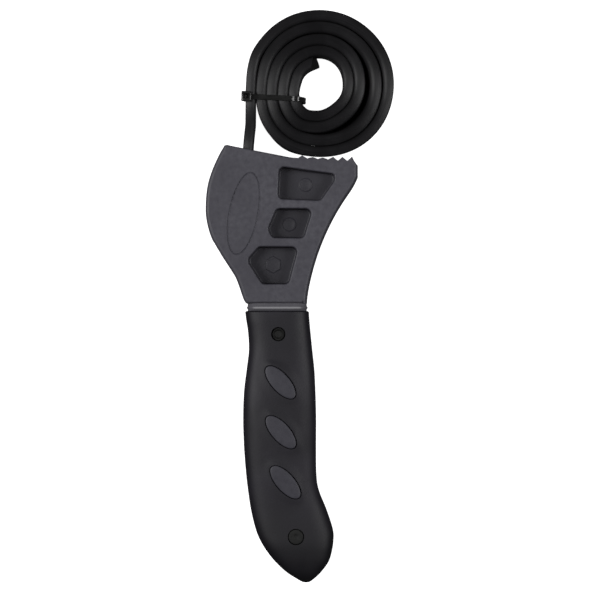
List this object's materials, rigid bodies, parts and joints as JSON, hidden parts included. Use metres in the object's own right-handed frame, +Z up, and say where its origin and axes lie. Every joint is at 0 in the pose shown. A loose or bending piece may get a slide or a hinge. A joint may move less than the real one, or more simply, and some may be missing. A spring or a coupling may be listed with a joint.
{
  "type": "oil filter strap wrench",
  "caption": "Rubber strap wrench with a pocketed nylon head, soft oval grip and its strap rolled into a coil held by a cable tie.",
  "frame": {"origin": "on the table surface, under the middle of the whole tool as it lies on its back", "axes": "+Y from the butt of the grip to the rolled strap, +Z up out of the front face, +X to the toothed side of the head"},
  "size_m": [0.0956, 0.2896, 0.026],
  "materials": {
    "head_nylon": "fine satin grain, glass filled nylon",
    "soft_grip": "matt soft-touch rubber",
    "pad_nylon": "fine satin grain",
    "pin_nylon": "plain moulded",
    "strap_rubber": "satin rubber with fine lengthwise lines",
    "pin_steel": "ground",
    "tie_nylon": "smooth"
  },
  "bodies": {
    "tool": {"head_frame": "head_nylon", "grip_sleeve": "soft_grip", "grip_pad_upper_front": "pad_nylon", "grip_pad_upper_back": "pad_nylon", "grip_pad_middle_front": "pad_nylon", "grip_pad_middle_back": "pad_nylon", "grip_pad_lower_front": "pad_nylon", "grip_pad_lower_back": "pad_nylon", "cross_pin_upper": "pin_nylon", "cross_pin_lower": "pin_nylon", "strap_root": "strap_rubber", "anchor_pin": "pin_steel"},
    "rolled_strap": {"strap_coil": "strap_rubber", "cable_tie": "tie_nylon"}
  },
  "joints": [
    {"name": "strap_swing", "type": "hinge", "parent": "tool", "child": "rolled_strap", "pos_m": [-0.0253, 0.087, 0.013], "axis": [0, 0, 1], "range_deg": [0, 60], "stiffness_Nm_per_rad": 0.045}
  ]
}
